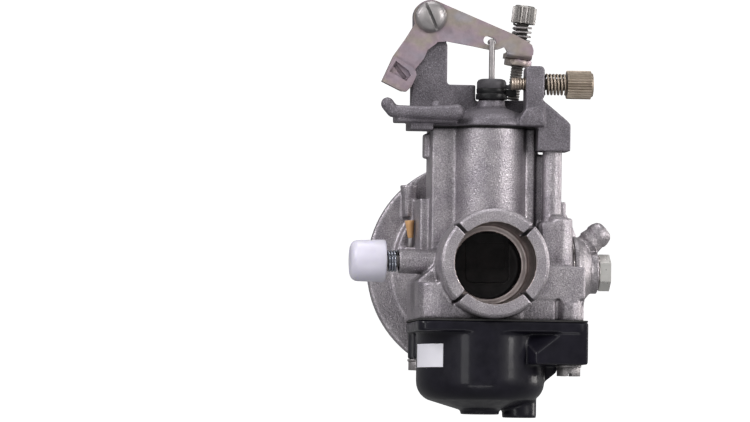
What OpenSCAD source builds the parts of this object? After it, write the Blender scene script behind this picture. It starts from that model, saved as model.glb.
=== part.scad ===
// Slide carburetor for a small scooter: clamp collar, throttle tower with a
// bell-crank lever, float bowl and round air-filter flange.
// The origin is the centre of the collar's mouth.  +Y runs along the throttle
// bore towards the air filter, +Z is up and +X is the fuel inlet side.

/* [Clamp collar] */
// Outside diameter of the clamp collar
collar_od = 32.4; // [32:0.1:32.8]
// Bore of the clamp collar
collar_id = 24; // [23.6:0.1:24.4]
// Depth of the collar's bore
collar_depth = 19; // [18:0.5:20]
// Width of the four slits
slit_w = 1; // [0.6:0.1:1.4]

/* [Throttle] */
// Diameter of the round throttle bore
throttle_bore = 19.8; // [19:0.1:20]
// Width of the throttle slide
slide_w = 15; // [14.6:0.1:15]
// Thickness of the throttle slide
slide_t = 6; // [5.6:0.1:6]
// Diameter of the link wire
wire_d = 1.8; // [1.6:0.1:1.9]

/* [Air filter flange] */
// Outside diameter of the flange
flange_od = 64.7; // [64:0.1:65.4]
// Distance from the collar's mouth to the back of the flange
flange_y = 55; // [55:0.5:56]

/* [Float bowl] */
// Outside diameter of the bowl's cup
cup_d = 38.1; // [37.8:0.1:38.4]
// Wall of the bowl
bowl_wall = 2; // [1.8:0.1:2.2]

/* [Fasteners] */
// Outside diameter of the knurled idle screw's head
idle_head_d = 7.3; // [7:0.1:8]
// Outside diameter of the knurled cable adjuster's head
adjuster_head_d = 8.5; // [8:0.1:9]
// Diameter of the mixture screw's knob
knob_d = 12.6; // [12:0.1:13]
// Gap of a running fit, on the radius
fit = 0.05; // [0.03:0.01:0.08]

/* [Hidden] */
$fn = 64;

// Colours
c_cast = [0.62, 0.60, 0.62];
c_cap = [0.52, 0.50, 0.52];
c_bowl = [0.10, 0.10, 0.11];
c_zinc = [0.72, 0.68, 0.70];
c_steel = [0.70, 0.70, 0.68];
c_brass = [0.78, 0.62, 0.32];
c_bronze = [0.60, 0.53, 0.45];
c_rubber = [0.06, 0.06, 0.06];
c_knob = [0.82, 0.82, 0.88];

// Throttle slide and link wire
tower_x = 1.6;             // axis of the wire, spring and tower barrel
tower_y = 28;
barrel_r = 10.7;
tower_top = 41;
slide_gap = 0.15;          // clearance of the slide in its slot
slide_bottom = -4.9;       // lower edge of the slide at idle
slide_top = 16;
slide_travel = 14.75;
spring_bore_r = 7.4;
throat_w = 12.4;           // rectangular throat behind the round bore
throat_x = 0.5;
throat_low = -4.65;
throat_high = 9.6;
wire_r = wire_d / 2;

// Top cap
gasket_t = 0.4;
cap_z = tower_top + gasket_t;
cap_plate_top = 44;
dome_r = 12.4;
dome_top = 47;
boss_r = 3.95;
boss_top = 49.6;
cap_screw_at = [[-11, 37.8], [11.4, 38.6]];
seal_top = 52.8;
retainer_top = 55.6;

// Throttle lever: its plate lies just behind the wire
lever_y = 29.2;            // front face of the plate
lever_t = 1.5;
pivot_x = -16.65;
pivot_z = 74;
pivot_shoulder_r = 2.95;
hook_arm = tower_x - pivot_x;
lever_angle = 21.26;       // droop of the right arm at rest
slot_w = 2.4;
slot_l = 3.9;
slot_r = 19.02;            // centre of the link slot from the pivot
hook_z = pivot_z - hook_arm * tan(lever_angle);
post_y = 31.2;             // front face of the lever post
post_t = 4.3;

// Idle stop screw, carried by the lever
idle_y = 35;
idle_tip = [8.9, idle_y, 49.95];
idle_land_z = 49.7;        // flat on the cap that the tip rests on
idle_lean = 6.9;
idle_shank_r = 1.9;
idle_len = 23.1;           // tip to the underside of the head
idle_head_h = 5.3;
tab_s = 10.2;              // distance of the bush's lower face from the tip
bush_h = 2;

// Cable adjuster
adj_y = 23;
adj_z = 54.15;
adj_shank_r = 1.95;
adj_tip_x = 6.9;
adj_head_x = 23.4;
adj_head_len = 7.8;
lug_x = 10.9;
lug_w = 5.6;

// Mixture screw
mix_y = 20.5;
mix_z = 0.8;
mix_boss_x = -26.6;
mix_boss_r = 3.65;
knob_x = -30.5;            // inner face of the knob
knob_len = 10.5;

// Fuel inlet and float valve
inlet_y = 30;
inlet_z = -1.4;
inlet_x = 25.8;            // face of the inlet boss
inlet_r = 10.6;
housing_end = 34;          // outer face of the filter housing
valve_x = 14.5;
valve_y = 25;
float_pin_x = 18.6;
float_pin_z = -19.6;
float_pin_r = 1;
float_top = -23;
float_bottom = -33;

// Starter (choke) column
starter_x = 19.5;
starter_y = 24;
starter_r = 2.9;
plunger_r = 1.85;

// Small fittings beside the filter flange
pin_at = [-20.4, 43];

// Float bowl
joint_z = -16.4;           // underside of the main body
bowl_gasket_t = 0.5;
bowl_z = joint_z - bowl_gasket_t;
cup_x = -1.4;
cup_y = 23.4;
cup_r = cup_d / 2;
jet_x = 0.5;
jet_y = 34;
right_screw = [23.8, 14];
left_screw = [-17.4, 40.8];
right_ear_z = -29.4;
label_from = 186;          // the sticker's first edge, round the cup
label_angle = 42;
bowl_front = 4.6;
ear_front = 5;
left_ear_z = -27.7;

// ---------- helpers ----------
module along_y(r, y0, y1) {
    translate([0, y0, 0]) rotate([-90, 0, 0]) cylinder(r = r, h = y1 - y0);
}

module along_x(r, x0, x1) {
    translate([x0, 0, 0]) rotate([0, 90, 0]) cylinder(r = r, h = x1 - x0);
}

module turned_y(profile) {
    rotate([-90, 0, 0]) rotate_extrude() polygon(profile);
}

// Two discs joined by their outer tangents
module bar_2d(a, ra, b, rb) {
    d = b - a;
    heading = atan2(d[1], d[0]);
    spread = acos((ra - rb) / norm(d));
    translate(a) circle(ra);
    translate(b) circle(rb);
    polygon([for (p = [[a, ra, 1], [b, rb, 1], [b, rb, -1], [a, ra, -1]])
        p[0] + p[1] * [cos(heading + p[2] * spread), sin(heading + p[2] * spread)]]);
}

// Rectangle with round corners, from its lower left corner
module round_rect(size, r) {
    translate([r, 0]) square([size[0] - 2 * r, size[1]]);
    translate([0, r]) square([size[0], size[1] - 2 * r]);
    for (x = [r, size[0] - r], y = [r, size[1] - r]) translate([x, y]) circle(r);
}

// A plate drawn in the XZ plane, from y0 to y1
module plate_xz(y0, y1) {
    translate([0, y1, 0]) rotate([90, 0, 0]) linear_extrude(y1 - y0) children();
}

// Toothed outline of a knurled head
module knurl_2d(r, teeth, depth) {
    polygon([for (i = [0 : 2 * teeth - 1])
        (r - (i % 2) * depth) * [cos(i * 180 / teeth), sin(i * 180 / teeth)]]);
}

// A screw thread as a stack of ring grooves, along +Z
module thread(r, len, pitch = 0.8, depth = 0.4) {
    n = floor(len / pitch);
    rotate_extrude() polygon(concat([[0, 0]],
        [for (i = [0 : n - 1], k = [0, 1])
            [r - (1 - k) * depth, (i + k / 2) * pitch]],
        [[r - depth, n * pitch], [r - depth, len], [0, len]]));
}

// Coil spring along +Z, swept with a six-sided wire
function ring_points(r, w, a, z, sides) = [for (k = [0 : sides - 1])
    let (t = k * 360 / sides)
    [(r + w * cos(t)) * cos(a), (r + w * cos(t)) * sin(a), z + w * sin(t)]];

module coil(r, w, turns, len, sides = 6, per_turn = 12) {
    n = round(turns * per_turn);
    points = [for (i = [0 : n])
        each ring_points(r, w, i * 360 / per_turn, w + (len - 2 * w) * i / n, sides)];
    tube = [for (i = [0 : n - 1], k = [0 : sides - 1])
        let (k2 = (k + 1) % sides)
        each [[i * sides + k, i * sides + k2, (i + 1) * sides + k2],
            [i * sides + k, (i + 1) * sides + k2, (i + 1) * sides + k]]];
    ends = [[for (k = [sides - 1 : -1 : 0]) k], [for (k = [0 : sides - 1]) n * sides + k]];
    polyhedron(points, concat(tube, ends));
}

// Outline of the bowl joint, seen from above
module joint_2d() {
    translate([-22, bowl_front]) round_rect([50.6, 30.2], 3);
    translate([-22, bowl_front + 10]) round_rect([43, 26.8], 3);
    translate([cup_x, cup_y]) circle(cup_r);
    translate(left_screw) circle(4);
}

module cavity_2d(grow = 0) {
    translate([cup_x, cup_y]) circle(cup_r - bowl_wall + grow);
    translate([8, 17.5 - grow]) square([12.9 + grow, 15 + 2 * grow]);
}

module at_bowl_screws() {
    translate([right_screw[0], right_screw[1], right_ear_z]) children();
    translate([left_screw[0], left_screw[1], left_ear_z]) children();
}

// Frame of the idle screw: +Z runs up its axis from the tip
module on_idle_axis() {
    translate(idle_tip) rotate([0, idle_lean, 0]) children();
}

// ---------- main body ----------
collar_r = collar_od / 2;
bore_r = throttle_bore / 2;
flange_r = flange_od / 2;

module body_turned() {
    turned_y([[0, 0], [collar_r - 0.9, 0], [collar_r, 0.9], [collar_r, 16], [14.4, 19],
        [14.4, 41.5], [24.8, 51], [25.3, flange_y - 3.6], [flange_r - 0.5, flange_y - 3.6],
        [flange_r, flange_y - 3.1], [flange_r, flange_y], [0, flange_y]]);
}

module body_tower() {
    translate([tower_x - 0.4, tower_y, -8]) cylinder(r = barrel_r, h = tower_top + 8);
    translate([-16.3, 25.4, -4]) cube([30.9, 15.6, tower_top + 4]);
    translate([-18, 31, 32]) cube([4, 6, 7.4]);
    translate([12, 26.5, 0]) cube([7.6, 11, 33.5]);
    translate([12, 31.4, 33]) cube([4.2, 6.1, 7.9]);
}

// Wall above the bowl: stepped back below the fuel box, with a screw column
module body_block() {
    translate([0, 0, joint_z]) linear_extrude(10.8) polygon([[-21.5, 11.5], [-20.4, 9.2], [-18.2, 7.6],
        [-15.5, 7], [-13.8, 7], [-13.8, 41.5], [-21.5, 41.5]]);
    plate_xz(7, 41.5) polygon([[-14, joint_z], [-14, -5.6], [-8, -9], [-8, joint_z]]);
    plate_xz(14, 41.5) polygon([[-21.5, -7], [-21.5, -5], [-18.5, -2.6], [-12, 4], [0, 6], [0, -7]]);
    translate([-9, 7, joint_z]) cube([18, 34.5, 6]);
    translate([8, 12, joint_z]) cube([11.4, 29.5, 6]);
    translate([17, 15, joint_z]) cube([11.4, 4, 6]);
    translate([17, 18, joint_z]) cube([11.4, 16.6, 3.6]);
    translate([17, 18, joint_z]) cube([8.6, 16.6, 6]);
    translate([10, 11.5, -10]) cube([18.3, 7.6, 9.7]);
    translate([10, 13, -11.2]) cube([18.3, 6.1, 2]);
    translate([10, 18, -11.2]) cube([15.6, 16, 10.9]);
    translate([right_screw[0], right_screw[1], joint_z]) cylinder(r = 3.65, h = 5.6);
    translate([left_screw[0], left_screw[1], joint_z]) cylinder(r = 4, h = 9);
}

module body_starter() {
    translate([15.6, 15.6, -4]) cube([8.6, 18, 17]);
    translate([18.6, 19.5, 8]) cube([4.4, 8, 7]);
    translate([starter_x, starter_y, 12]) cylinder(r = starter_r, h = 23.2);
    translate([21.6, 18.6, -4]) cylinder(r = 3.5, h = 18.2);
}

module body_inlet() {
    translate([0, inlet_y, inlet_z]) along_x(inlet_r, 14, inlet_x);
}

module body_flank() {
    translate([0, mix_y, mix_z]) along_x(mix_boss_r, mix_boss_x, -8);
    translate([mix_boss_x, mix_y - 0.6, mix_z]) cube([14, 8, 3.6]);
    translate([-19.2, 30, 3]) cube([6, 20, 17]);
    translate([-22.5, 40, 2]) cube([5, 6, 3.7]);
    translate([-20.5, 48, 15]) cylinder(r1 = 1.5, r2 = 2.75, h = 9.6);
    translate([-22, 47.6, 15]) cube([4, 3.7, 8.4]);
    intersection() {
        along_y(24.6, 46.4, 52);
        translate([-26, 46, 2]) cube([14, 8, 20]);
    }
    plate_xz(37, 41) polygon([[18, -4], [18, 19.9], [25.6, 19.9], [25.6, 15], [25.6, 10.4],
        [25.6, -4]]);
}

module body_under() {
    translate([jet_x, jet_y, -25]) cylinder(r = 4, h = 10);
    for (p = [[-9, 33], [-6, 17]]) translate([p[0], p[1], -21.5]) cylinder(r = 2.9, h = 7);
    for (y = [valve_y - 6.1, valve_y + 4.6])
        translate([float_pin_x - 1.7, y, float_pin_z - 1.7]) cube([3.4, 1.5, 6]);
}

module body_bores() {
    along_y(collar_id / 2, -1, collar_depth);
    along_y(bore_r, collar_depth - 1, tower_y - 3.6);
    along_y(bore_r, 36, 44);
    turned_y([[0, 42], [bore_r, 42.2], [12.2, 44], [22.9, 52.6], [29.4, 53.2], [29.4, 56], [0, 56]]);
    intersection() {
        for (a = [45, 135]) rotate([0, a, 0]) translate([-20, -1, -slit_w / 2])
            cube([40, 14, slit_w]);
        along_y(collar_r + 0.4, -2, 14);
    }
    plate_xz(20, 40) translate([throat_x - throat_w / 2, throat_low])
        round_rect([throat_w, throat_high - throat_low], 1.5);
}

module slide_chamber() {
    translate([tower_x - slide_w / 2 - slide_gap, tower_y - slide_t / 2 - slide_gap, -7])
        cube([slide_w + 2 * slide_gap, slide_t + 2 * slide_gap, tower_top + 8]);
    translate([tower_x, tower_y, slide_top - 0.6]) cylinder(r = spring_bore_r, h = 30);
}

module valve_bores() {
    translate([0, inlet_y, inlet_z]) {
        along_x(1.6, valve_x, inlet_x + 1);
        along_x(2.6, inlet_x - 8, inlet_x + 1);
    }
    translate([valve_x, 0, inlet_z]) along_y(1.5, valve_y, inlet_y);
    translate([valve_x, valve_y, joint_z - 1]) cylinder(r = 3.4, h = 10.4);
    translate([valve_x, valve_y, -8]) cylinder(r = 1.5, h = 7);
    translate([float_pin_x, 0, float_pin_z]) along_y(float_pin_r, valve_y - 8, valve_y + 8);
}

module jet_bores() {
    translate([jet_x, jet_y, -26]) cylinder(r = 2.5, h = 17);
    translate([jet_x, jet_y, -10]) cylinder(r = 1.6, h = 6);
    for (p = [[-9, 33], [-6, 17]]) translate([p[0], p[1], -22]) cylinder(r = 1.6, h = 9);
}

module screw_bores() {
    translate([0, mix_y, mix_z]) {
        along_x(2.4, mix_boss_x - 1, -15);
        along_x(1.1, -16, -8);
    }
    at_bowl_screws() cylinder(r = 2.05, h = 22.5);
    for (p = cap_screw_at) translate([p[0], p[1], tower_top - 12]) cylinder(r = 1.65, h = 13);
    translate([starter_x, starter_y, 4]) cylinder(r = plunger_r + fit, h = 32);
    translate([pin_at[0], pin_at[1], 3.8]) cylinder(r = 0.8, h = 4);
}

module main_body() {
    color(c_cast) difference() {
        union() {
            body_turned();
            body_tower();
            body_block();
            body_starter();
            body_inlet();
            body_flank();
            body_under();
        }
        body_bores();
        slide_chamber();
        valve_bores();
        jet_bores();
        screw_bores();
    }
}

// ---------- float bowl ----------
// Profile of the cup, moved inwards by wall t
function cup_profile(t) = concat(
    [[0, bowl_z], [cup_r - t, bowl_z]],
    [for (a = [0 : 13 : 65]) [cup_r - 6 + (6 - t) * cos(a), -34.6 - (6 - t) * sin(a)]],
    [[5.8, -43 + 1.05 * t], [0, -43 + 1.05 * t]]);

module bowl_outside() {
    translate([0, 0, bowl_z - 3.2]) linear_extrude(3.2) joint_2d();
    translate([cup_x, cup_y, 0]) {
        rotate_extrude() polygon(cup_profile(0));
        translate([0, 0, -44.2]) cylinder(r = 5.75, h = 2.4);
    }
    translate([10.7, 26, -45]) cylinder(r = 5.1, h = 9);
    bowl_ear();
    plate_xz(19, 24) polygon([[14, -35.4], [16.4, -35.2], [20.8, -31.6], [21.6, right_ear_z],
        [14, right_ear_z]]);
    translate([left_screw[0], left_screw[1], left_ear_z]) cylinder(r = 3.7, h = bowl_z - left_ear_z);
    translate([left_screw[0] - 3, 32, left_ear_z]) cube([8, 8, bowl_z - left_ear_z]);
}

// Screw ear on the inlet side, cut away towards the cup above a slanting crease
module bowl_ear() {
    difference() {
        translate([0, 0, right_ear_z]) linear_extrude(bowl_z - right_ear_z)
            polygon([[10.4, 9], [12.9, ear_front], [28.5, ear_front], [28.5, 34.6], [10.4, 34.6]]);
        translate([13.4, ear_front, -26.1]) rotate([0, -38, 0]) rotate([-42, 0, 0])
            translate([-20, -12, 0]) cube([60, 12, 20]);
    }
}

module float_bowl() {
    color(c_bowl) difference() {
        bowl_outside();
        translate([cup_x, cup_y, 0]) rotate_extrude() polygon(concat(
            [[0, bowl_z + 1], [cup_r - bowl_wall, bowl_z + 1]],
            [for (i = [1 : len(cup_profile(bowl_wall)) - 1]) cup_profile(bowl_wall)[i]]));
        translate([8, 17.5, -27.4]) cube([12.9, 15, 20]);
        at_bowl_screws() translate([0, 0, -1]) cylinder(r = 2.3, h = 20);
    }
}

module bowl_gasket() {
    color(c_rubber) translate([0, 0, bowl_z]) linear_extrude(bowl_gasket_t) difference() {
        joint_2d();
        cavity_2d(0.3);
        for (p = [right_screw, left_screw]) translate(p) circle(2.3);
    }
}

module bowl_screws() {
    color(c_steel) at_bowl_screws() difference() {
        union() {
            translate([0, 0, -3.3]) cylinder(r = 3.5, h = 2.6);
            translate([0, 0, -0.9]) cylinder(r = 2, h = 13);
            translate([0, 0, 12]) thread(2, 8);
        }
        translate([-0.5, -4, -4]) cube([1, 8, 1.5]);
    }
}

module bowl_washers() {
    color(c_steel) at_bowl_screws() translate([0, 0, -0.7]) difference() {
        cylinder(r = 3.8, h = 0.7);
        translate([0, 0, -1]) cylinder(r = 2.1, h = 3);
    }
}

// Blank sticker wrapped round the side of the cup
module bowl_label() {
    color("white") translate([cup_x, cup_y, -30.6]) rotate([0, 0, label_from])
        rotate_extrude(angle = label_angle) translate([cup_r, 0]) square([0.15, 6.9]);
}

// ---------- top cap ----------
// Rod with round ends
module rod(a, ra, b, rb) {
    hull() {
        translate(a) sphere(ra, $fn = 28);
        translate(b) sphere(rb, $fn = 28);
    }
}

module cap_saddle() {
    rod([-30.5, 19, 47.3], 2, [-28.9, 18.9, 45.2], 1.9);
    rod([-28.9, 18.9, 45.2], 1.9, [-19, 17.6, 44.9], 1.9);
    rod([-19, 17.6, 44.9], 1.9, [-9.8, 17.6, 45.2], 2.3);
    rod([-15.8, 20.2, 46.9], 1.8, [-14.4, 21.4, 46.4], 1.9);
    translate([-27.8, 18, 42.1]) cube([18, 11.5, 2.9]);
    translate([-23.6, 20, 39.9]) cube([7.1, 12, 3]);
}

module cap_post() {
    plate_xz(post_y, post_y + post_t) {
        translate([pivot_x, pivot_z]) circle(5);
        translate([-21.6, 60]) square([9.9, pivot_z - 60]);
        translate([-22.1, cap_plate_top - 2]) square([10.8, 24]);
        translate([-13, cap_plate_top - 2]) square([10.2, 12.1]);
        translate([-13, cap_plate_top - 2]) square([12.2, 7.3]);
    }
    translate([-21.8, post_y, cap_plate_top - 3]) cube([5.3, 8, 3]);
}

module cap_dome() {
    translate([tower_x, tower_y, 0]) rotate_extrude() polygon([[0, cap_z], [dome_r, cap_z],
        [dome_r, cap_z + 0.9], [dome_r - 0.7, cap_z + 2.2], [dome_r - 2.6, cap_z + 3.5],
        [7.4, dome_top - 1], [5.2, dome_top - 0.2], [boss_r + 0.3, dome_top + 0.2],
        [boss_r, boss_top], [0, boss_top]]);
    translate([-16.6, 24.8, cap_z]) cube([31.6, 16.4, cap_plate_top - cap_z]);
    translate([4.4, 31.6, cap_plate_top - 1]) cube([10, 6.6, idle_land_z - cap_plate_top + 1]);
}

module cap_lug() {
    plate_xz(19.4, 27) {
        translate([lug_x, cap_z + 2]) square([3.4, 10]);
        translate([lug_x, adj_z - 4.7]) round_rect([lug_w, 10], 1.3);
    }
    plate_xz(16.5, 25) polygon([[8.6, cap_z], [8.6, 43.4], [10.6, 46.4], [16.2, 48], [16.2, cap_z]]);
}

module cap_hood() {
    plate_xz(19.5, 31) polygon([[13.8, 41.6], [13.8, 49], [16.2, 49.2], [23.3, 43.4], [24.4, 42.2],
        [24.4, 34.2], [14.6, 34.2], [14.6, 41.6]]);
    translate([20, starter_y, 41.6]) along_y(3.4, 4, 12);
}

module top_cap() {
    color(c_cap) difference() {
        union() {
            cap_dome();
            cap_post();
            cap_lug();
            cap_saddle();
            cap_hood();
        }
        translate([tower_x, tower_y, cap_z - 1]) cylinder(r = spring_bore_r, h = 3.2);
        translate([tower_x, tower_y, cap_z]) cylinder(r = wire_r + 0.3, h = 12);
        translate([pivot_x, 0, pivot_z]) along_y(2.45, post_y - 1, post_y + 9);
        translate([0, adj_y, adj_z]) along_x(adj_shank_r + fit, lug_x - 1, lug_x + lug_w + 1);
        for (p = cap_screw_at) translate([p[0], p[1], cap_z - 1]) cylinder(r = 1.7, h = 20);
        for (p = cap_screw_at) translate([p[0], p[1], cap_plate_top]) cylinder(r = 3.7, h = 30);
        translate([starter_x, starter_y, 33]) cylinder(r = starter_r + 0.1, h = 2.2 + fit);
        translate([starter_x, starter_y, 33]) cylinder(r = 2.5, h = 10.2);
        translate([starter_x, starter_y + 1, 41.4]) along_y(1.3, 0, 12);
    }
}

module cap_gasket() {
    color(c_rubber) translate([0, 0, tower_top]) linear_extrude(gasket_t) difference() {
        union() {
            translate([tower_x, tower_y]) circle(barrel_r);
            translate([-16.3, 25.4]) square([30.9, 15.6]);
        }
        translate([tower_x, tower_y]) circle(spring_bore_r);
        translate([tower_x - slide_w / 2 - slide_gap, tower_y - 3.2]) square([slide_w + 0.3, 6.4]);
        for (p = cap_screw_at) translate(p) circle(2.2);
    }
}

module cap_screws() {
    color(c_steel) for (p = cap_screw_at) translate([p[0], p[1], cap_plate_top]) difference() {
        union() {
            rotate_extrude() polygon([[0, 0], [3.5, 0], [3.5, 1.2], [2.6, 2.3], [0, 2.7]]);
            translate([0, 0, -13]) cylinder(r = 1.6, h = 13.5);
        }
        for (a = [0, 90]) rotate([0, 0, a]) translate([-0.5, -2, 1.1]) cube([1, 4, 3]);
    }
}

// ---------- link ----------
module link_seal() {
    color(c_rubber) translate([tower_x, tower_y, boss_top]) difference() {
        union() {
            rotate_extrude() polygon([[0, 0], [4.7, 0], [4.7, 1.5], [4.3, 1.8], [4.5, 2.1],
                [4.5, 3.2], [0, 3.2]]);
            translate([0, -1.7, 1.1]) cube([7.2, 3.4, 1.9]);
        }
        translate([0, 0, -1]) cylinder(r = wire_r + 0.12, h = 9);
    }
}

module seal_retainer() {
    color(c_cap) translate([tower_x, tower_y, seal_top]) difference() {
        union() {
            rotate_extrude() polygon([[0, 0], [4.4, 0], [4.4, 1.9], [4, 2.6], [3.2, 2.9], [0, 2.9]]);
            translate([0, -1.4, 0]) cube([7.2, 2.8, 1.2]);
        }
        translate([0, 0, -1]) cylinder(r = wire_r + 0.3, h = 9);
    }
}

module link_wire() {
    color(c_steel) translate([tower_x, tower_y, 0]) {
        translate([0, 0, 6]) cylinder(r = wire_r, h = hook_z - 6);
        translate([0, 0, hook_z]) sphere(wire_r);
        translate([0, 0, hook_z]) along_y(wire_r, 0, 4);
        translate([0, 0, 6]) sphere(wire_r);
    }
}

module throttle_slide() {
    color(c_brass) difference() {
        translate([tower_x - slide_w / 2, tower_y - slide_t / 2, slide_bottom])
            cube([slide_w, slide_t, slide_top - slide_bottom]);
        translate([tower_x, tower_y, 4]) cylinder(r = wire_r, h = 20);
        plate_xz(tower_y - 4, tower_y - slide_t / 2 + 0.5)
            translate([tower_x - 4.5, -1]) round_rect([9, 8], 1);
    }
}

module slide_spring() {
    color(c_steel) translate([tower_x, tower_y, slide_top + 0.02])
        coil(6.2, 0.5, 8, cap_z + 2.2 - slide_top - 0.04);
}

// ---------- throttle lever ----------
module lever_2d() {
    difference() {
        union() {
            circle(5.1);
            polygon([[-4.6, -1.9], [-7.5, -6.6], [-11.2, -11.9], [-14.6, -19.5], [-8.8, -22.3],
                [-7.2, -22.4], [-5.9, -21], [-4.4, -17.6], [-4.5, -15.6], [-1.9, -12.4],
                [-0.9, -9.9], [1.8, -7.8], [4.6, -1.9]]);
            polygon([[-3, 4], [2, 4.7], [25.6, -5], [29.2, -6.9], [30.4, -7.8], [30.9, -9.3],
                [30.8, -10.8], [22.9, -9.8], [22.2, -8.6], [20.4, -9.3], [18, -9.55],
                [12.7, -8.5], [5, -7.2], [0, -7.6]]);
        }
        circle(pivot_shoulder_r + fit);
        rotate(-lever_angle) translate([slot_r - slot_l / 2, -slot_w / 2])
            round_rect([slot_l, slot_w], slot_w / 2 - 0.01);
    }
}

// Folded end of the left arm, with a recess and slot for the cable's end nipple
module cable_pocket() {
    difference() {
        plate_xz(lever_y - 2.4, lever_y + 0.1)
            polygon([[-11.2, -11.9], [-5.7, -15.2], [-4.6, -16.4], [-4.4, -17.6], [-5.9, -21],
                [-7.2, -22.4], [-8.8, -22.3], [-14.6, -19.5]]);
        plate_xz(lever_y - 3, lever_y - 0.9)
            polygon([[-10.6, -13.4], [-6.6, -16.4], [-6.1, -17.8], [-7.4, -19.4], [-12.5, -16.6]]);
        translate([-9.2, lever_y - 0.5, -16.6]) rotate([0, 51, 0])
            cube([5, 2.4, 1.2], center = true);
    }
}

// Tab bent back from the right arm; the idle screw runs in its bush
module screw_tab() {
    difference() {
        on_idle_axis() translate([-4.2, lever_y - idle_y, tab_s + bush_h]) {
            translate([0, lever_t, 0]) cube([7.6, 8.6, lever_t]);
            translate([0, lever_t, lever_t]) along_x(lever_t, 0, 7.6);
        }
        on_idle_axis() translate([0, 0, tab_s]) cylinder(r = 2.6, h = 8);
    }
}

module throttle_lever() {
    color(c_zinc) {
        translate([pivot_x, 0, pivot_z]) {
            plate_xz(lever_y, lever_y + lever_t) lever_2d();
            cable_pocket();
        }
        screw_tab();
    }
}

module idle_screw_bush() {
    color(c_zinc) on_idle_axis() difference() {
        union() {
            translate([0, 0, tab_s]) cylinder(r = 4.1, h = bush_h);
            translate([0, 0, tab_s + bush_h - 0.1]) cylinder(r = 2.6, h = lever_t + 0.1);
        }
        translate([0, 0, tab_s - 1]) cylinder(r = idle_shank_r + fit, h = 8);
    }
}

module lever_screw() {
    color(c_steel) translate([pivot_x, 0, pivot_z]) difference() {
        union() {
            turned_y([[0, 26.6], [2.4, 26.75], [3.9, 27.4], [4.65, 28.3], [4.65, 29.1],
                [pivot_shoulder_r, 29.1], [pivot_shoulder_r, post_y], [2.4, post_y],
                [2.4, post_y + post_t + 1], [0, post_y + post_t + 1]]);
        }
        rotate([0, -24, 0]) translate([-0.45, 26, -6]) cube([0.9, 1.9, 12]);
    }
}

module lever_washer() {
    color(c_steel) translate([pivot_x, 0, pivot_z]) difference() {
        along_y(4.8, lever_y + lever_t + 0.05, post_y);
        along_y(pivot_shoulder_r + fit, lever_y, post_y + 1);
    }
}

module idle_stop_screw() {
    color(c_steel) on_idle_axis() {
        thread(idle_shank_r, idle_len + 0.1, 0.8, 0.3);
        translate([0, 0, idle_len]) {
            linear_extrude(idle_head_h - 0.5) knurl_2d(idle_head_d / 2, 26, 0.35);
            translate([0, 0, idle_head_h - 0.6])
                cylinder(r1 = idle_head_d / 2 - 0.4, r2 = idle_head_d / 2 - 0.9, h = 0.6);
        }
    }
}

module idle_stop_spring() {
    spring_z = tab_s + bush_h + lever_t;
    color(c_steel) on_idle_axis() translate([0, 0, spring_z + 0.02])
        coil(2.75, 0.38, 6.5, idle_len - spring_z - 0.04);
}

// ---------- cable adjuster ----------
module cable_adjuster() {
    color(c_bronze) translate([adj_tip_x, adj_y, adj_z]) rotate([0, 90, 0]) difference() {
        union() {
            thread(adj_shank_r, adj_head_x - adj_tip_x + 0.1, 0.8, 0.3);
            translate([0, 0, adj_head_x - adj_tip_x]) {
                linear_extrude(adj_head_len - 0.6) knurl_2d(adjuster_head_d / 2, 30, 0.35);
                translate([0, 0, adj_head_len - 0.7])
                    cylinder(r1 = adjuster_head_d / 2 - 0.4, r2 = adjuster_head_d / 2 - 0.8, h = 0.7);
            }
        }
        translate([0, 0, -1]) cylinder(r = 0.95, h = 40);
        translate([0, 0, adj_head_x - adj_tip_x + adj_head_len - 5]) cylinder(r = 2.7, h = 6);
    }
}

module adjuster_spring() {
    spring_x = lug_x + lug_w;
    color(c_bronze) translate([spring_x + 0.02, adj_y, adj_z]) rotate([0, 90, 0])
        coil(3.05, 0.38, 6, adj_head_x - spring_x - 0.04);
}

// ---------- jets and float ----------
module hex_jet(r, len, head_r, head_h) {
    difference() {
        union() {
            cylinder(r = head_r, h = head_h);
            translate([0, 0, head_h - 0.1]) cylinder(r = r, h = len - head_h + 0.1);
        }
        translate([0, 0, -1]) cylinder(r = r * 0.3, h = len + 2);
        translate([-0.3, -head_r - 1, -1]) cube([0.6, 2 * head_r + 2, 1.7]);
    }
}

module atomizer() {
    color(c_brass) translate([jet_x, jet_y, -22]) difference() {
        union() {
            cylinder(r = 2.45, h = 11.6);
            translate([0, 0, 11.5]) cylinder(r = 1.55, h = 6.2);
        }
        translate([0, 0, -1]) cylinder(r = 0.9, h = 22);
        for (z = [3, 6, 9]) translate([0, 0, z]) along_x(0.35, -4, 4);
    }
}

module main_jet() {
    color(c_brass) translate([jet_x, jet_y, -28.4]) hex_jet(2.45, 6.2, 3.2, 3);
}

module idle_jet() {
    color(c_brass) translate([-9, 33, -22.6]) hex_jet(1.55, 7, 2.2, 1);
}

module starter_jet() {
    color(c_brass) translate([-6, 17, -22.6]) hex_jet(1.55, 7, 2.2, 1);
}

module float_body() {
    difference() {
        translate([cup_x, cup_y, float_bottom]) cylinder(r = 15, h = float_top - float_bottom);
        translate([jet_x, jet_y, float_bottom - 1]) cylinder(r = 7, h = 20);
        translate([jet_x - 7, jet_y, float_bottom - 1]) cube([14, 12, 20]);
    }
}

module float() {
    color("white") float_body();
    color(c_brass) difference() {
        union() {
            translate([5, valve_y - 3.5, float_top - 0.1]) cube([12.2, 7, 0.9]);
            translate([float_pin_x - 5.6, valve_y - 2, float_pin_z - 2]) cube([5.6, 4, 0.9]);
            translate([float_pin_x - 2, valve_y - 3.5, float_top]) cube([1.4, 7, 3]);
            translate([float_pin_x, 0, float_pin_z]) along_y(2, valve_y - 4.3, valve_y + 4.3);
        }
        translate([float_pin_x, 0, float_pin_z])
            along_y(float_pin_r + fit, valve_y - 6, valve_y + 6);
    }
}

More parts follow.
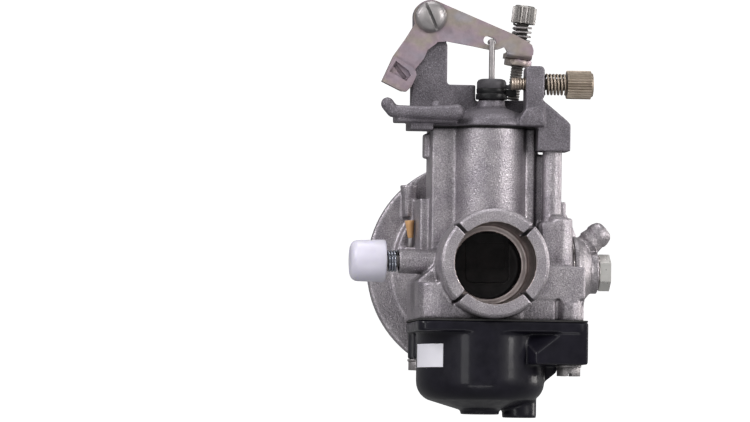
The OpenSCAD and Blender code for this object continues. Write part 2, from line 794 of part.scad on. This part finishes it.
module float_pin() {
    color(c_steel) translate([float_pin_x, 0, float_pin_z])
        along_y(float_pin_r, valve_y - 6.1, valve_y + 6.1);
}

module float_needle() {
    color(c_steel) translate([valve_x, valve_y, 0]) rotate_extrude() polygon([[0, -20.6],
        [1.2, -20.6], [1.2, -19.6], [1.95, -19.4], [1.95, -11.4], [0.9, -9.7], [0.5, -9.3],
        [0, -9.3]]);
}

module needle_seat() {
    color(c_brass) translate([valve_x, valve_y, 0]) rotate_extrude() polygon([[2, -17.4],
        [3.9, -17.4], [3.9, -16.4], [3.38, -16.4], [3.38, -7.1], [1, -7.1], [1, -9.5], [2, -11.2]]);
}

// ---------- fuel inlet ----------
module turned_x(profile) {
    translate([0, inlet_y, inlet_z]) rotate([0, 90, 0]) rotate_extrude() polygon(profile);
}

// Frame of the hose nipple: +Z runs out along it
module on_nipple() {
    translate([28.4, inlet_y + 0.4, 4.6]) rotate([0, 49, 0]) children();
}

// Bell-shaped filter housing with the hose nipple
module banjo_fitting() {
    color(c_cast) difference() {
        union() {
            turned_x([[0, inlet_x + 0.4], [inlet_r, inlet_x + 0.4], [inlet_r, 27.6], [9.6, 29.3],
                [7.6, 30.8], [6.3, 31.9], [6.3, housing_end], [0, housing_end]]);
            on_nipple() {
                cylinder(r = 3.5, h = 8.4);
                translate([0, 0, 4.2]) cylinder(r1 = 3.9, r2 = 3.55, h = 2.4);
                translate([0, 0, 7]) rotate_extrude()
                    polygon([[0, 0], [3.9, 0], [3.75, 1.6], [3.2, 3], [2.2, 3.8], [0, 3.8]]);
            }
        }
        turned_x([[0, 25], [8.6, 25], [8.6, 28], [5.2, 31], [0, 31]]);
        turned_x([[0, 30], [3.05, 30], [3.05, 35], [0, 35]]);
        on_nipple() translate([0, 0, 1]) cylinder(r = 1.5, h = 12);
    }
}

module banjo_bolt() {
    color(c_zinc) difference() {
        union() {
            turned_x([[0, inlet_x - 7.5], [2.55, inlet_x - 7.5], [2.55, inlet_x], [2.95, inlet_x],
                [2.95, housing_end + 0.7], [0, housing_end + 0.7]]);
            translate([housing_end + 0.5, inlet_y, inlet_z]) rotate([0, 90, 0])
                cylinder(r = 5.5, h = 3.3, $fn = 6);
        }
        turned_x([[0, inlet_x - 9], [1.3, inlet_x - 9], [1.3, 32.6], [0, 32.6]]);
        translate([29.5, inlet_y, inlet_z - 4]) cylinder(r = 0.8, h = 8);
    }
}

module banjo_washers() {
    color(c_brass) for (w = [[inlet_x, inlet_r - 0.2, 8.4, 0.4], [housing_end, 5.2, 3, 0.5]])
        turned_x([[w[2], w[0]], [w[1], w[0]], [w[1], w[0] + w[3]], [w[2], w[0] + w[3]]]);
}

// Sleeve of fine gauze round the bolt
module fuel_strainer() {
    color(c_steel) turned_x([[4.4, inlet_x + 0.2], [4.7, inlet_x + 0.2], [4.7, 30.9], [4.4, 30.9]]);
}

// ---------- mixture screw ----------
module mixture_needle() {
    color(c_steel) translate([-38, mix_y, mix_z]) rotate([0, 90, 0]) {
        linear_extrude(6.4) knurl_2d(1.95, 16, 0.2);
        translate([0, 0, 6.3]) cylinder(r = 1.7, h = 6.5);
        translate([0, 0, 12]) thread(2.35, 8.4);
        rotate_extrude() polygon([[0, 20], [1.8, 20.2], [1.8, 21], [0.95, 21.6], [0.95, 24],
            [0.2, 27.4], [0, 27.4]]);
    }
}

module mixture_spring() {
    color(c_steel) translate([knob_x + 0.02, mix_y, mix_z]) rotate([0, 90, 0])
        coil(3, 0.45, 3.5, mix_boss_x - knob_x - 0.04);
}

module mixture_knob() {
    r = knob_d / 2;
    color(c_knob) translate([knob_x, mix_y, mix_z]) rotate([0, -90, 0]) difference() {
        rotate_extrude() polygon(concat([[0, 0], [r - 0.3, 0], [r, 0.3], [r - 0.15, knob_len - 2.4]],
            [for (a = [15 : 15 : 75]) [r - 2.55 + 2.4 * cos(a), knob_len - 2.4 + 2.4 * sin(a)]],
            [[r - 2.55, knob_len], [0, knob_len]]));
        translate([0, 0, -1]) cylinder(r = 2, h = 9);
    }
}

// ---------- starter ----------
module starter_plunger() {
    color(c_brass) translate([starter_x, starter_y, 0]) {
        translate([0, 0, 18]) cylinder(r = plunger_r, h = 13.4);
        translate([0, 0, 31.3]) cylinder(r = 0.9, h = 5);
    }
}

module starter_spring() {
    color(c_steel) translate([starter_x, starter_y, 31.42]) coil(1.45, 0.3, 6, 11.7);
}

module starter_cable_bush() {
    color(c_brass) translate([20, starter_y, 42]) difference() {
        union() {
            along_y(2.4, 12.05, 16);
            along_y(3.2, 12.05, 13);
        }
        along_y(1.6, 8, 17);
    }
}

// ---------- small fittings of the filter flange ----------
module air_bleed_plug() {
    color(c_brass) translate([pin_at[0], pin_at[1], 8.6]) rotate([0, -4, 0])
        cylinder(r1 = 0.85, r2 = 1.45, h = 5.2);
}

module locating_pin() {
    color(c_steel) translate([pin_at[0], pin_at[1], 3.8]) cylinder(r = 0.8, h = 4.7);
}

main_body();
float_bowl();
bowl_gasket();
bowl_screws();
bowl_washers();
bowl_label();
top_cap();
cap_gasket();
cap_screws();
link_seal();
seal_retainer();
throttle_lever();
idle_screw_bush();
lever_screw();
lever_washer();
idle_stop_screw();
idle_stop_spring();
cable_adjuster();
adjuster_spring();
link_wire();
throttle_slide();
slide_spring();
atomizer();
main_jet();
idle_jet();
starter_jet();
float();
float_pin();
float_needle();
needle_seat();
banjo_fitting();
banjo_bolt();
banjo_washers();
fuel_strainer();
mixture_needle();
mixture_spring();
mixture_knob();
starter_plunger();
starter_spring();
starter_cable_bush();
air_bleed_plug();
locating_pin();
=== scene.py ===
"""Looks of the scooter carburetor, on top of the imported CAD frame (metres).

+Y runs along the throttle bore towards the air filter, +Z is up, +X is the
fuel inlet side.  Castings are remeshed copies of their CAD nodes, so that
their edges run out into each other as cast edges do; machined faces are kept
flat.  Every other CAD node keeps its mesh and gets modifiers and a material.
"""
import math

import bpy
from mathutils import Matrix, Vector


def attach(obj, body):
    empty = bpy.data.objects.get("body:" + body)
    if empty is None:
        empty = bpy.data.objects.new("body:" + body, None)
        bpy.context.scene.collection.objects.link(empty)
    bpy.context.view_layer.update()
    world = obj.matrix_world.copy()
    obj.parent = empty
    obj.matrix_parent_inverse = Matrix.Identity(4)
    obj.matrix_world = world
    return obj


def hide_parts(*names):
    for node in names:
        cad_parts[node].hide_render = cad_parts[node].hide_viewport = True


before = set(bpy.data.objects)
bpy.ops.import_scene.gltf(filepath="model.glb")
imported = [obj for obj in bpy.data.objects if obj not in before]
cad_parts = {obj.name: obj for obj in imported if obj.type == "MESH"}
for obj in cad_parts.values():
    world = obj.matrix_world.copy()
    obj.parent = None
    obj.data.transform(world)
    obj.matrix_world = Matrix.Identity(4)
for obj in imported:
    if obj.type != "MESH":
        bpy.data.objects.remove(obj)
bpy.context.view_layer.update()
MM = 0.001

# ---------- camera, floor and light ----------
VIEW_AZIMUTH = -6.2
VIEW_ELEVATION = -2.3
VIEW_ROLL = 0.7
VIEW_DISTANCE = 2.5
SENSOR = 36.0
FRAME_WIDTH = 0.2206            # what the picture spans at the object, in metres
MOUTH_RIGHT = 0.0355            # the collar's mouth, right of the picture's centre
MOUTH_BELOW = 0.0153            # and below it


def add(name, data):
    obj = bpy.data.objects.new(name, data)
    bpy.context.scene.collection.objects.link(obj)
    return obj


def make_camera():
    azimuth, elevation = math.radians(VIEW_AZIMUTH), math.radians(VIEW_ELEVATION)
    roll = math.radians(VIEW_ROLL)
    back = Vector((math.sin(azimuth) * math.cos(elevation),
                   -math.cos(azimuth) * math.cos(elevation), math.sin(elevation)))
    level = Vector((math.cos(azimuth), math.sin(azimuth), 0))
    rise = back.cross(level)
    right = level * math.cos(roll) + rise * math.sin(roll)
    up = rise * math.cos(roll) - level * math.sin(roll)
    data = bpy.data.cameras.new("camera")
    data.sensor_width = SENSOR
    data.lens = SENSOR * VIEW_DISTANCE / FRAME_WIDTH
    data.clip_end = 50
    camera = add("camera", data)
    target = up * MOUTH_BELOW - right * MOUTH_RIGHT
    matrix = Matrix((right, up, back)).transposed().to_4x4()
    matrix.translation = target + back * VIEW_DISTANCE
    camera.matrix_world = matrix
    bpy.context.scene.camera = camera


def area_light(name, place, target, size, power, tint=(1, 1, 1)):
    data = bpy.data.lights.new(name, "AREA")
    data.shape = "RECTANGLE"
    data.size, data.size_y = size
    data.energy = power
    data.color = tint
    light = add(name, data)
    light.location = place
    light.rotation_euler = (Vector(target) - light.location).to_track_quat("-Z", "Y").to_euler()


def make_light():
    world = bpy.data.worlds.new("studio")
    bpy.context.scene.world = world
    world.use_nodes = True
    background = world.node_tree.nodes["Background"]
    background.inputs["Color"].default_value = (1, 1, 1, 1)
    background.inputs["Strength"].default_value = 0.25
    bpy.context.scene.view_settings.view_transform = "Standard"
    middle = (0, 0.02, 0.015)
    area_light("key", (-0.95, -0.45, 0.6), middle, (0.35, 0.6), 6.5, (1, 0.98, 1))
    area_light("right", (0.85, -0.7, 0.3), middle, (0.2, 0.6), 6.5, (1, 0.98, 0.97))
    area_light("front", (-0.2, -1.2, 0.7), middle, (0.5, 0.4), 2.2)
    area_light("back", (0.9, 0.3, 0.2), middle, (0.3, 0.6), 3.5, (1, 0.97, 0.94))
    area_light("low", (-0.1, -0.9, -0.6), middle, (0.8, 0.2), 1.2)
    area_light("left", (-0.7, -1.0, -0.1), middle, (0.3, 0.5), 1.5)
    area_light("top", (0.0, 0.1, 1.1), middle, (0.7, 0.4), 4.5)


FLOOR_LEVEL = -0.3
FLOOR_REACH = 6.0               # how far it runs to the front and to each side
WALL_BEHIND = 4.0
WALL_TOP = 4.0
SWEEP = 1.0                     # radius between the floor and the wall
SWEEP_STEPS = 8


def make_floor():
    """A pale floor that sweeps up into a pale wall far behind the object.

    It glows a little, and gives the object no light, reflection or shadow.
    """
    start = WALL_BEHIND - SWEEP
    path = [(-FLOOR_REACH, FLOOR_LEVEL), (start, FLOOR_LEVEL)]
    for i in range(1, SWEEP_STEPS + 1):
        a = i * math.pi / (2 * SWEEP_STEPS)
        path.append((start + SWEEP * math.sin(a), FLOOR_LEVEL + SWEEP - SWEEP * math.cos(a)))
    path.append((WALL_BEHIND, WALL_TOP))
    verts = [(x, y, z) for y, z in path for x in (-FLOOR_REACH, FLOOR_REACH)]
    faces = [(2 * i, 2 * i + 1, 2 * i + 3, 2 * i + 2) for i in range(len(path) - 1)]
    mesh = bpy.data.meshes.new("floor")
    mesh.from_pydata(verts, [], faces)
    for poly in mesh.polygons:
        poly.use_smooth = True
    floor = add("floor", mesh)
    material = bpy.data.materials.new("floor")
    material.use_nodes = True
    shader = material.node_tree.nodes["Principled BSDF"]
    shader.inputs["Base Color"].default_value = (0.86, 0.86, 0.87, 1)
    shader.inputs["Roughness"].default_value = 0.9
    shader.inputs["Emission Color"].default_value = (1, 1, 1, 1)
    shader.inputs["Emission Strength"].default_value = 0.85
    mesh.materials.append(material)
    floor.visible_diffuse = False
    floor.visible_glossy = False
    floor.visible_shadow = False


# ---------- materials ----------
class Shader:
    """A principled material whose detail comes from object-space patterns."""

    def __init__(self, name, metal, rough, **constants):
        self.material = bpy.data.materials.new(name)
        self.material.use_nodes = True
        self.tree = self.material.node_tree
        self.principled = self.tree.nodes["Principled BSDF"]
        self.principled.inputs["Metallic"].default_value = metal
        self.principled.inputs["Roughness"].default_value = rough
        for key, value in constants.items():
            self.principled.inputs[key.replace("_", " ")].default_value = value
        self.coords = self.tree.nodes.new("ShaderNodeTexCoord").outputs["Object"]
        self.height = None

    def link(self, a, b):
        self.tree.links.new(a, b)

    def mapped(self, stretch):
        node = self.tree.nodes.new("ShaderNodeMapping")
        node.inputs["Scale"].default_value = stretch
        self.link(self.coords, node.inputs["Vector"])
        return node.outputs["Vector"]

    def noise(self, size_mm, detail=3, stretch=(1, 1, 1)):
        node = self.tree.nodes.new("ShaderNodeTexNoise")
        node.inputs["Scale"].default_value = 1 / (size_mm * MM)
        node.inputs["Detail"].default_value = detail
        self.link(self.mapped(stretch), node.inputs["Vector"])
        return node.outputs["Fac"]

    def cells(self, size_mm):
        node = self.tree.nodes.new("ShaderNodeTexVoronoi")
        node.inputs["Scale"].default_value = 1 / (size_mm * MM)
        self.link(self.coords, node.inputs["Vector"])
        return node.outputs["Distance"]

    def rings(self, size_mm, axis):
        """Tool marks: rings round an axis ("RX", "RY", "RZ") or bands along one ("X", "Y", "Z")."""
        node = self.tree.nodes.new("ShaderNodeTexWave")
        node.wave_type = "RINGS" if axis.startswith("R") else "BANDS"
        if axis.startswith("R"):
            node.rings_direction = axis[1]
        else:
            node.bands_direction = axis
        node.inputs["Scale"].default_value = 0.314 / (size_mm * MM)
        node.inputs["Distortion"].default_value = 0.6
        self.link(self.coords, node.inputs["Vector"])
        return node.outputs["Fac"]

    def ramp(self, fac, stops):
        """A colour ramp; a stop's colour may be one grey level."""
        node = self.tree.nodes.new("ShaderNodeValToRGB")
        while len(node.color_ramp.elements) < len(stops):
            node.color_ramp.elements.new(0.5)
        for element, (place, colour) in zip(node.color_ramp.elements, stops):
            element.position = place
            if not isinstance(colour, tuple):
                colour = (colour, colour, colour)
            element.color = (*colour, 1)
        self.link(fac, node.inputs["Fac"])
        return node.outputs["Color"]

    def mix(self, a, b, fac, mode="MIX"):
        """Blends two colours; each may be a socket or a plain tuple."""
        node = self.tree.nodes.new("ShaderNodeMix")
        node.data_type = "RGBA"
        node.blend_type = mode
        for key, value in ((6, a), (7, b)):
            if isinstance(value, tuple):
                node.inputs[key].default_value = (*value, 1)
            else:
                self.link(value, node.inputs[key])
        if isinstance(fac, (int, float)):
            node.inputs[0].default_value = fac
        else:
            self.link(fac, node.inputs[0])
        return node.outputs[2]

    def painted_shade(self, colour, reach_mm, depth):
        """Painted shade: darkens corners and recesses by ambient occlusion."""
        node = self.tree.nodes.new("ShaderNodeAmbientOcclusion")
        node.samples = 8
        node.inputs["Distance"].default_value = reach_mm * MM
        shade = self.ramp(node.outputs["AO"], [(0.15, depth), (0.85, 1.0)])
        return self.mix(colour, shade, 1.0, "MULTIPLY")

    def worn(self, colour, bright):
        """Brightens the outer edges of a dense mesh."""
        node = self.tree.nodes.new("ShaderNodeNewGeometry")
        fac = self.ramp(node.outputs["Pointiness"], [(0.54, 0.0), (0.66, 1.0)])
        return self.mix(colour, bright, fac)

    def colour(self, value):
        self.link(value, self.principled.inputs["Base Color"])

    def roughness(self, fac, low, high):
        self.link(self.ramp(fac, [(0.3, low), (0.7, high)]), self.principled.inputs["Roughness"])

    def bump(self, height, depth_mm):
        node = self.tree.nodes.new("ShaderNodeBump")
        node.inputs["Distance"].default_value = depth_mm * MM
        node.inputs["Strength"].default_value = 1.0
        self.link(height, node.inputs["Height"])
        if self.height is not None:
            self.link(self.height, node.inputs["Normal"])
        self.height = node.outputs["Normal"]
        self.link(self.height, self.principled.inputs["Normal"])


def cast_metal(name, dark, light, edge, metal=0.75, rough=(0.42, 0.62), reach=5.0, depth=0.35):
    """Tumbled die casting: mottled, with a fine grain, painted glints and painted shade in its
    recesses.
    """
    s = Shader(name, metal, 0.5)
    colour = s.ramp(s.noise(6.0, 5), [(0.32, dark), (0.68, light)])
    grain = s.ramp(s.noise(0.34, 2), [(0.36, 0.62), (0.64, 1.3)])
    colour = s.mix(colour, grain, 0.8, "MULTIPLY")
    # painted glints: sparse bright specks multiplied into the colour
    painted_glints = s.ramp(s.noise(0.42, 1), [(0.62, 1.0), (0.70, 1.7)])
    colour = s.mix(colour, painted_glints, 0.7, "MULTIPLY")
    stains = s.ramp(s.noise(3.2, 6), [(0.60, 1.0), (0.74, 0.76)])
    colour = s.mix(colour, stains, 0.8, "MULTIPLY")
    colour = s.worn(colour, edge)
    # painted shade in the casting's corners and recesses
    s.colour(s.painted_shade(colour, reach, depth))
    s.roughness(s.noise(0.5, 2), *rough)
    s.bump(s.noise(2.4, 3), 0.09)
    s.bump(s.noise(0.38, 2), 0.085)
    s.bump(s.cells(0.5), 0.05)
    return s.material


def turned_metal(name, dark, light, axis="RY", pitch=0.12, metal=1.0, rough=(0.22, 0.4),
                 depth=0.55, lines=0.012):
    """Machined or plated metal with fine tool marks round an axis."""
    s = Shader(name, metal, 0.3)
    colour = s.ramp(s.noise(4.0, 4), [(0.3, dark), (0.7, light)])
    # painted shade in corners and recesses
    s.colour(s.painted_shade(colour, 2.5, depth))
    s.roughness(s.noise(1.2, 4), *rough)
    s.bump(s.rings(pitch, axis), lines)
    s.bump(s.noise(0.3, 2), 0.012)
    return s.material


def plated_lever(name):
    """Passivated zinc: silver with a faint yellow to purple bloom."""
    s = Shader(name, 0.7, 0.4)
    bloom = s.ramp(s.noise(11.0, 3, (1, 1, 1.6)),
                   [(0.30, (0.42, 0.37, 0.43)), (0.44, (0.47, 0.37, 0.42)),
                    (0.56, (0.47, 0.41, 0.36)), (0.70, (0.46, 0.43, 0.46))])
    wear = s.ramp(s.noise(1.1, 5), [(0.4, 0.88), (0.65, 1.05)])
    colour = s.mix(bloom, wear, 0.7, "MULTIPLY")
    # painted shade in corners and recesses
    s.colour(s.painted_shade(colour, 1.6, 0.5))
    s.roughness(s.noise(2.0, 4), 0.36, 0.52)
    s.bump(s.noise(1.4, 3), 0.012)
    s.bump(s.noise(0.25, 2, (1, 1, 0.2)), 0.006)
    return s.material


def moulded(name, dark, light, rough, grain_mm=0.5, depth_mm=0.02, reach=2.0, depth=0.5, **constants):
    s = Shader(name, 0.0, rough, **constants)
    colour = s.ramp(s.noise(5.0, 4), [(0.3, dark), (0.7, light)])
    # painted shade in corners and recesses
    s.colour(s.painted_shade(colour, reach, depth))
    s.roughness(s.noise(2.5, 4), rough * 0.8, rough * 1.25)
    s.bump(s.noise(grain_mm, 3), depth_mm)
    return s.material


def make_materials():
    m = {}
    m["body_casting"] = cast_metal("body_casting", (0.34, 0.315, 0.345), (0.47, 0.44, 0.465),
                                   (0.60, 0.57, 0.60), metal=0.85, rough=(0.38, 0.56))
    m["machined"] = turned_metal("machined", (0.30, 0.27, 0.27), (0.45, 0.42, 0.42), "RY", 0.22)
    m["bore_metal"] = turned_metal("bore_metal", (0.34, 0.29, 0.28), (0.52, 0.46, 0.45), "Y", 0.3,
                                   rough=(0.32, 0.5), depth=0.45)
    m["cap_casting"] = cast_metal("cap_casting", (0.162, 0.150, 0.170), (0.232, 0.215, 0.240),
                                  (0.32, 0.30, 0.33), metal=0.7, rough=(0.46, 0.62))
    m["banjo_cast"] = cast_metal("banjo_cast", (0.36, 0.335, 0.36), (0.47, 0.44, 0.46),
                                 (0.70, 0.68, 0.70), rough=(0.32, 0.5))
    m["bowl_black"] = moulded("bowl_black", (0.006, 0.0055, 0.010), (0.010, 0.0090, 0.016), 0.36, 0.9,
                              0.008, Specular_IOR_Level=0.2, Coat_Weight=0.22, Coat_Roughness=0.09)
    m["gasket"] = moulded("gasket", (0.02, 0.02, 0.021), (0.035, 0.033, 0.033), 0.8, 0.3, 0.03)
    m["rubber"] = moulded("rubber", (0.006, 0.006, 0.007), (0.010, 0.010, 0.011), 0.4, 0.4, 0.01,
                          Specular_IOR_Level=0.3)
    m["retainer"] = turned_metal("retainer", (0.055, 0.052, 0.058), (0.10, 0.095, 0.105), "RZ", 0.3,
                                 metal=0.4, rough=(0.5, 0.65))
    m["plated_steel"] = turned_metal("plated_steel", (0.31, 0.295, 0.30), (0.42, 0.40, 0.40), "RZ", 0.2,
                                     metal=0.85, rough=(0.4, 0.55))
    m["lever_zinc"] = plated_lever("lever_zinc")
    m["adjuster_bronze"] = turned_metal("adjuster_bronze", (0.37, 0.31, 0.245), (0.52, 0.44, 0.37),
                                        "RX", 0.2, metal=0.85, rough=(0.34, 0.5), depth=0.35)
    m["idle_steel"] = turned_metal("idle_steel", (0.28, 0.265, 0.255), (0.38, 0.365, 0.35), "RZ", 0.2,
                                   metal=0.85, rough=(0.34, 0.5), depth=0.35)
    # the slide's own dark finish, also used as painted shade in the body's throat
    m["slide_dark_and_throat_shade"] = turned_metal("slide_dark_and_throat_shade", (0.012, 0.011, 0.012), (0.026, 0.024, 0.025), "Z", 0.4,
                                   metal=0.5, rough=(0.45, 0.6))
    m["brass"] = turned_metal("brass", (0.52, 0.35, 0.13), (0.72, 0.52, 0.24), "RZ", 0.25)
    m["brass_cast"] = turned_metal("brass_cast", (0.64, 0.35, 0.15), (0.82, 0.50, 0.24), "RZ", 0.4,
                                   metal=0.3, rough=(0.45, 0.6))
    m["label"] = moulded("label", (0.87, 0.86, 0.93), (0.92, 0.91, 0.97), 0.4, 0.5, 0.008)
    m["float_plastic"] = moulded("float_plastic", (0.60, 0.58, 0.52), (0.68, 0.66, 0.60), 0.5)
    m["bolt_zinc"] = turned_metal("bolt_zinc", (0.78, 0.77, 0.74), (0.90, 0.89, 0.86), "X", 0.3,
                                  metal=0.6, rough=(0.26, 0.38), lines=0.004)
    m["spring_chrome"] = turned_metal("spring_chrome", (0.44, 0.47, 0.53), (0.62, 0.65, 0.72), "X", 0.2,
                                      rough=(0.16, 0.28), depth=0.3, lines=0.002)
    m["knob_plastic"] = moulded("knob_plastic", (0.70, 0.68, 0.79), (0.78, 0.76, 0.87), 0.38, 0.7,
                                0.02, Subsurface_Weight=0.35, Subsurface_Radius=(0.004, 0.0038, 0.005),
                                Subsurface_Scale=0.6, Coat_Weight=0.2, Coat_Roughness=0.2)
    return m


# ---------- castings ----------
VOXEL = 0.42 * MM
COLLAR_RADIUS = 16.6 * MM       # just outside the collar's rim
BORE_RADIUS = 12.3 * MM         # just outside the collar's bore
BORE_END = 24.6 * MM            # where the slide's slot cuts the bore
COLLAR_BORE_END = 19.3 * MM
THROAT_END = 42 * MM
FLANGE_FACE = 54.7 * MM
WELD_DISTANCE = 0.002 * MM


def in_bore(c):
    return math.hypot(c.x, c.z) < BORE_RADIUS and -0.1 * MM < c.y < BORE_END


def on_machined_face(c):
    """Faces of the main body that a lathe or mill has cut."""
    mouth = c.y < 0.25 * MM and math.hypot(c.x, c.z) < COLLAR_RADIUS
    return mouth or c.y > FLANGE_FACE or in_bore(c)


def weld(obj):
    mod = obj.modifiers.new("weld", "WELD")
    mod.merge_threshold = WELD_DISTANCE


def remeshed(node, voxel, passes, keep=None):
    """A dense copy of a CAD node with its cast edges softened; keep(point) holds a face flat."""
    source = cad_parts[node]
    piece = add(node + "_cast", source.data.copy())
    weld(piece)
    voxels = piece.modifiers.new("voxels", "REMESH")
    voxels.mode = "VOXEL"
    voxels.voxel_size = voxel
    voxels.use_smooth_shade = True
    apply_modifiers(piece)
    group = piece.vertex_groups.new(name="cast")
    soft = [v.index for v in piece.data.vertices if keep is None or not keep(v.co)]
    group.add(soft, 1.0, "REPLACE")
    smooth = piece.modifiers.new("smooth", "SMOOTH")
    smooth.factor = 0.5
    smooth.iterations = passes
    smooth.vertex_group = "cast"
    apply_modifiers(piece)
    return piece


def apply_modifiers(piece):
    bpy.context.view_layer.update()
    graph = bpy.context.evaluated_depsgraph_get()
    mesh = bpy.data.meshes.new_from_object(piece.evaluated_get(graph))
    piece.modifiers.clear()
    piece.data = mesh


def paint(piece, *materials):
    piece.data.materials.clear()
    for material in materials:
        piece.data.materials.append(material)


def finish_casting(piece, node):
    for poly in piece.data.polygons:
        poly.use_smooth = True
    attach(piece, "root")
    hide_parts(node)


def body_finish(c):
    """Slot of the main body's material: casting, machined, bore, or the throat's painted shade."""
    # the throat past the collar's bore gets the near-black slide material as painted shade
    if math.hypot(c.x, c.z) < BORE_RADIUS and COLLAR_BORE_END < c.y < THROAT_END:
        return 3
    if in_bore(c):
        return 2
    return 1 if c.y > FLANGE_FACE else 0


def make_castings(m):
    body = remeshed("main_body", VOXEL, 5, on_machined_face)
    paint(body, m["body_casting"], m["machined"], m["bore_metal"], m["slide_dark_and_throat_shade"])
    for poly in body.data.polygons:
        poly.material_index = body_finish(poly.center)
    finish_casting(body, "main_body")
    cap = remeshed("top_cap", VOXEL * 0.85, 5)
    paint(cap, m["cap_casting"])
    finish_casting(cap, "top_cap")
    bowl = remeshed("float_bowl", VOXEL, 5)
    paint(bowl, m["bowl_black"])
    finish_casting(bowl, "float_bowl")
    banjo = remeshed("banjo_fitting", VOXEL * 0.7, 3)
    paint(banjo, m["banjo_cast"])
    finish_casting(banjo, "banjo_fitting")


# ---------- CAD nodes that keep their mesh ----------
def bevelled(obj, width_mm, angle=35):
    weld(obj)
    mod = obj.modifiers.new("edges", "BEVEL")
    mod.width = width_mm * MM
    mod.segments = 2
    mod.limit_method = "ANGLE"
    mod.angle_limit = math.radians(angle)
    mod.harden_normals = True


def rounded(obj):
    """Rounds the six-sided wire of a spring."""
    weld(obj)
    mod = obj.modifiers.new("round", "SUBSURF")
    mod.levels = mod.render_levels = 2


FINISH = {
    "bowl_gasket": ("gasket", 0), "cap_gasket": ("gasket", 0), "link_seal": ("rubber", 0.2),
    "bowl_screws": ("plated_steel", 0.2), "bowl_washers": ("plated_steel", 0.1),
    "cap_screws": ("plated_steel", 0.1), "lever_washer": ("plated_steel", 0.1),
    "idle_stop_screw": ("idle_steel", 0), "link_wire": ("plated_steel", 0),
    "float_pin": ("plated_steel", 0.1), "float_needle": ("plated_steel", 0),
    "fuel_strainer": ("plated_steel", 0), "mixture_needle": ("plated_steel", 0),
    "locating_pin": ("plated_steel", 0.1), "bowl_label": ("label", 0),
    "seal_retainer": ("retainer", 0.15), "throttle_lever": ("lever_zinc", 0.2),
    "idle_screw_bush": ("lever_zinc", 0.2), "lever_screw": ("plated_steel", 0.12),
    "cable_adjuster": ("adjuster_bronze", 0), "throttle_slide": ("slide_dark_and_throat_shade", 0.15),
    "atomizer": ("brass", 0), "main_jet": ("brass", 0.1), "idle_jet": ("brass", 0.1),
    "starter_jet": ("brass", 0.1), "needle_seat": ("brass", 0.1), "banjo_washers": ("machined", 0.05),
    "starter_plunger": ("brass", 0.1), "starter_cable_bush": ("brass", 0.1),
    "air_bleed_plug": ("brass_cast", 0.1), "float": ("float_plastic", 0.3),
    "banjo_bolt": ("bolt_zinc", 0.25), "mixture_knob": ("knob_plastic", 0.2),
}
SPRINGS = {
    "idle_stop_spring": "plated_steel", "adjuster_spring": "adjuster_bronze",
    "slide_spring": "plated_steel", "mixture_spring": "spring_chrome",
    "starter_spring": "plated_steel",
}


def dress_nodes(m):
    for node, (finish, edge_mm) in FINISH.items():
        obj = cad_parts[node]
        paint(obj, m[finish])
        if edge_mm:
            bevelled(obj, edge_mm)
    for node, finish in SPRINGS.items():
        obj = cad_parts[node]
        paint(obj, m[finish])
        rounded(obj)


make_camera()
make_light()
make_floor()
materials = make_materials()
make_castings(materials)
dress_nodes(materials)

bpy.context.view_layer.update()
